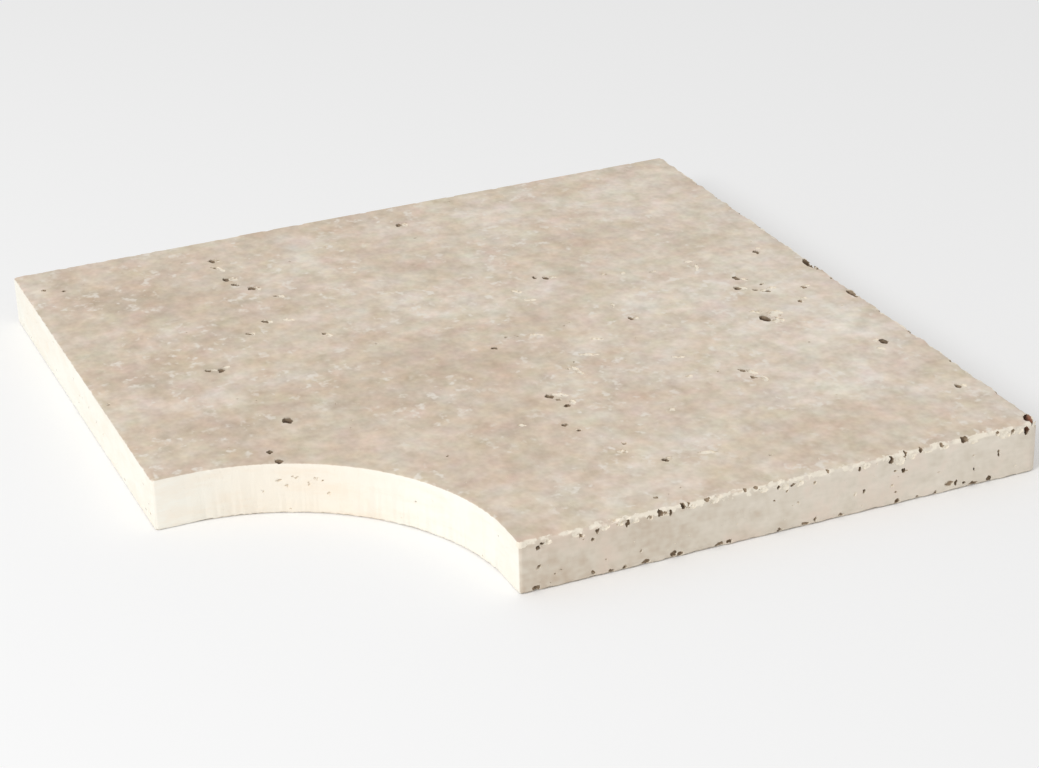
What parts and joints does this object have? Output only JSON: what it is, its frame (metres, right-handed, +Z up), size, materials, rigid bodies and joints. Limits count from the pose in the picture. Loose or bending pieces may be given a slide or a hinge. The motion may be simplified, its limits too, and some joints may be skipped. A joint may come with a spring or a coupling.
{
  "type": "pool coping stone",
  "caption": "Square natural stone slab with one corner cut away as a concave quarter round, laid as coping round the inside corner of a swimming pool.",
  "frame": {"origin": "centre of the square footprint, on the bed face", "axes": "+Z up out of the walking face, +X along the straight back edge, +Y from the pool side to the terrace side; the cut-away pool corner is at -X -Y"},
  "size_m": [0.45, 0.45, 0.03],
  "materials": {
    "travertine": "honed top with open voids, sawn pool edge and terrace edges, tumbled joint edges"
  },
  "bodies": {
    "root": {"coping_stone": "travertine"}
  },
  "joints": []
}
